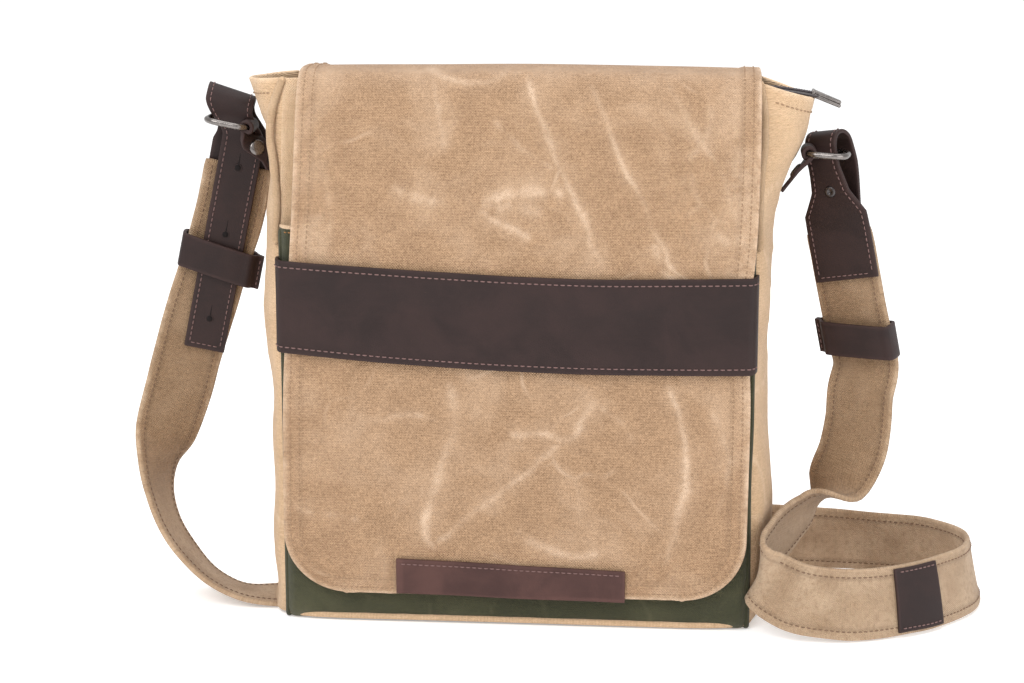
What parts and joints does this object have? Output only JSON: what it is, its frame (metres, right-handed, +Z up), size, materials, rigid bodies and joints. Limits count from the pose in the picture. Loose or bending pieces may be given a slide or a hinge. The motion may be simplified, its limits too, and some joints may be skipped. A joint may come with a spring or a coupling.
{
  "type": "messenger satchel",
  "caption": "Waxed-canvas messenger satchel with a full flap held under a wide leather band, front slip pocket, zipped mouth and adjustable shoulder strap.",
  "frame": {"origin": "on the floor under the middle of the bag's base, halfway between the side seams", "axes": "+Z up, +X to the right as the front is seen, -Y out of the front"},
  "size_m": [0.4727, 0.1697, 0.3108],
  "materials": {
    "tan_canvas": "waxed, woven",
    "green_canvas": "waxed, woven",
    "lining_cloth": "plain weave",
    "brown_leather": "satin",
    "dark_metal": "gunmetal, polished",
    "zip_cloth": "ribbed tape",
    "zip_coil": "moulded",
    "board": "smooth"
  },
  "bodies": {
    "bag": {"front_panel": "tan_canvas", "back_panel": "tan_canvas", "left_gusset": "tan_canvas", "right_gusset": "tan_canvas", "base_panel": "tan_canvas", "base_board": "board", "front_piping": "tan_canvas", "front_pocket": "green_canvas", "pocket_binding": "tan_canvas", "lining": "lining_cloth", "front_facing": "tan_canvas", "back_facing": "tan_canvas", "zip_tape_front": "zip_cloth", "zip_tape_back": "zip_cloth", "zip_coil_front": "zip_coil", "zip_coil_back": "zip_coil", "zip_tail": "zip_cloth", "zip_tail_coil": "zip_coil", "zip_end_cap": "dark_metal", "front_band": "brown_leather", "flap_anchor": "tan_canvas", "left_ring_tab": "brown_leather", "left_tab_rivet": "dark_metal", "right_ring_tab": "brown_leather", "right_tab_rivet": "dark_metal", "strap_canvas": "tan_canvas", "strap_patch": "brown_leather"},
    "flap_cover": {"flap_top": "tan_canvas"},
    "flap_hang": {"flap_front": "tan_canvas", "flap_tab": "brown_leather"},
    "slider": {"zip_slider": "dark_metal"},
    "pull": {"zip_puller": "dark_metal"},
    "left_end": {"left_ring": "dark_metal", "left_strap_end": "brown_leather", "left_strap_stud": "dark_metal", "left_strap_canvas": "tan_canvas"},
    "left_loop": {"left_keeper": "brown_leather"},
    "right_end": {"right_ring": "dark_metal", "right_strap_end": "brown_leather", "right_strap_stud": "dark_metal", "right_strap_canvas": "tan_canvas"},
    "right_loop": {"right_keeper": "brown_leather"}
  },
  "joints": [
    {"name": "flap_open", "type": "hinge", "parent": "bag", "child": "flap_cover", "pos_m": [0, 0.029, 0.304], "axis": [-1, 0, 0], "range_deg": [0, 236]},
    {"name": "flap_fold", "type": "hinge", "parent": "flap_cover", "child": "flap_hang", "pos_m": [0, -0.025, 0.306], "axis": [-1, 0, 0], "range_deg": [0, 79]},
    {"name": "zip_slide", "type": "slide", "parent": "bag", "child": "slider", "axis": [-1, 0, 0], "range_m": [0, 0.2]},
    {"name": "pull_swing", "type": "hinge", "parent": "slider", "child": "pull", "pos_m": [0.093, 0.0012, 0.2977], "axis": [0, 1, 0], "range_deg": [0, 80]},
    {"name": "left_strap_swing", "type": "hinge", "parent": "bag", "child": "left_end", "pos_m": [-0.1515, 0, 0.277], "axis": [0, 1, 0], "range_deg": [-2, 15]},
    {"name": "right_strap_swing", "type": "hinge", "parent": "bag", "child": "right_end", "pos_m": [0.1595, 0, 0.261], "axis": [0, -1, 0], "range_deg": [-2, 15]},
    {"name": "left_keeper_slide", "type": "slide", "parent": "left_end", "child": "left_loop", "axis": [0.1736, 0, 0.9848], "range_m": [-0.03, 0.025]},
    {"name": "right_keeper_slide", "type": "slide", "parent": "right_end", "child": "right_loop", "axis": [-0.1392, 0, 0.9903], "range_m": [-0.03, 0.03]}
  ],
  "couplings": [
    {"joint": "flap_fold", "follows": "flap_open", "ratio": 0.33333}
  ]
}
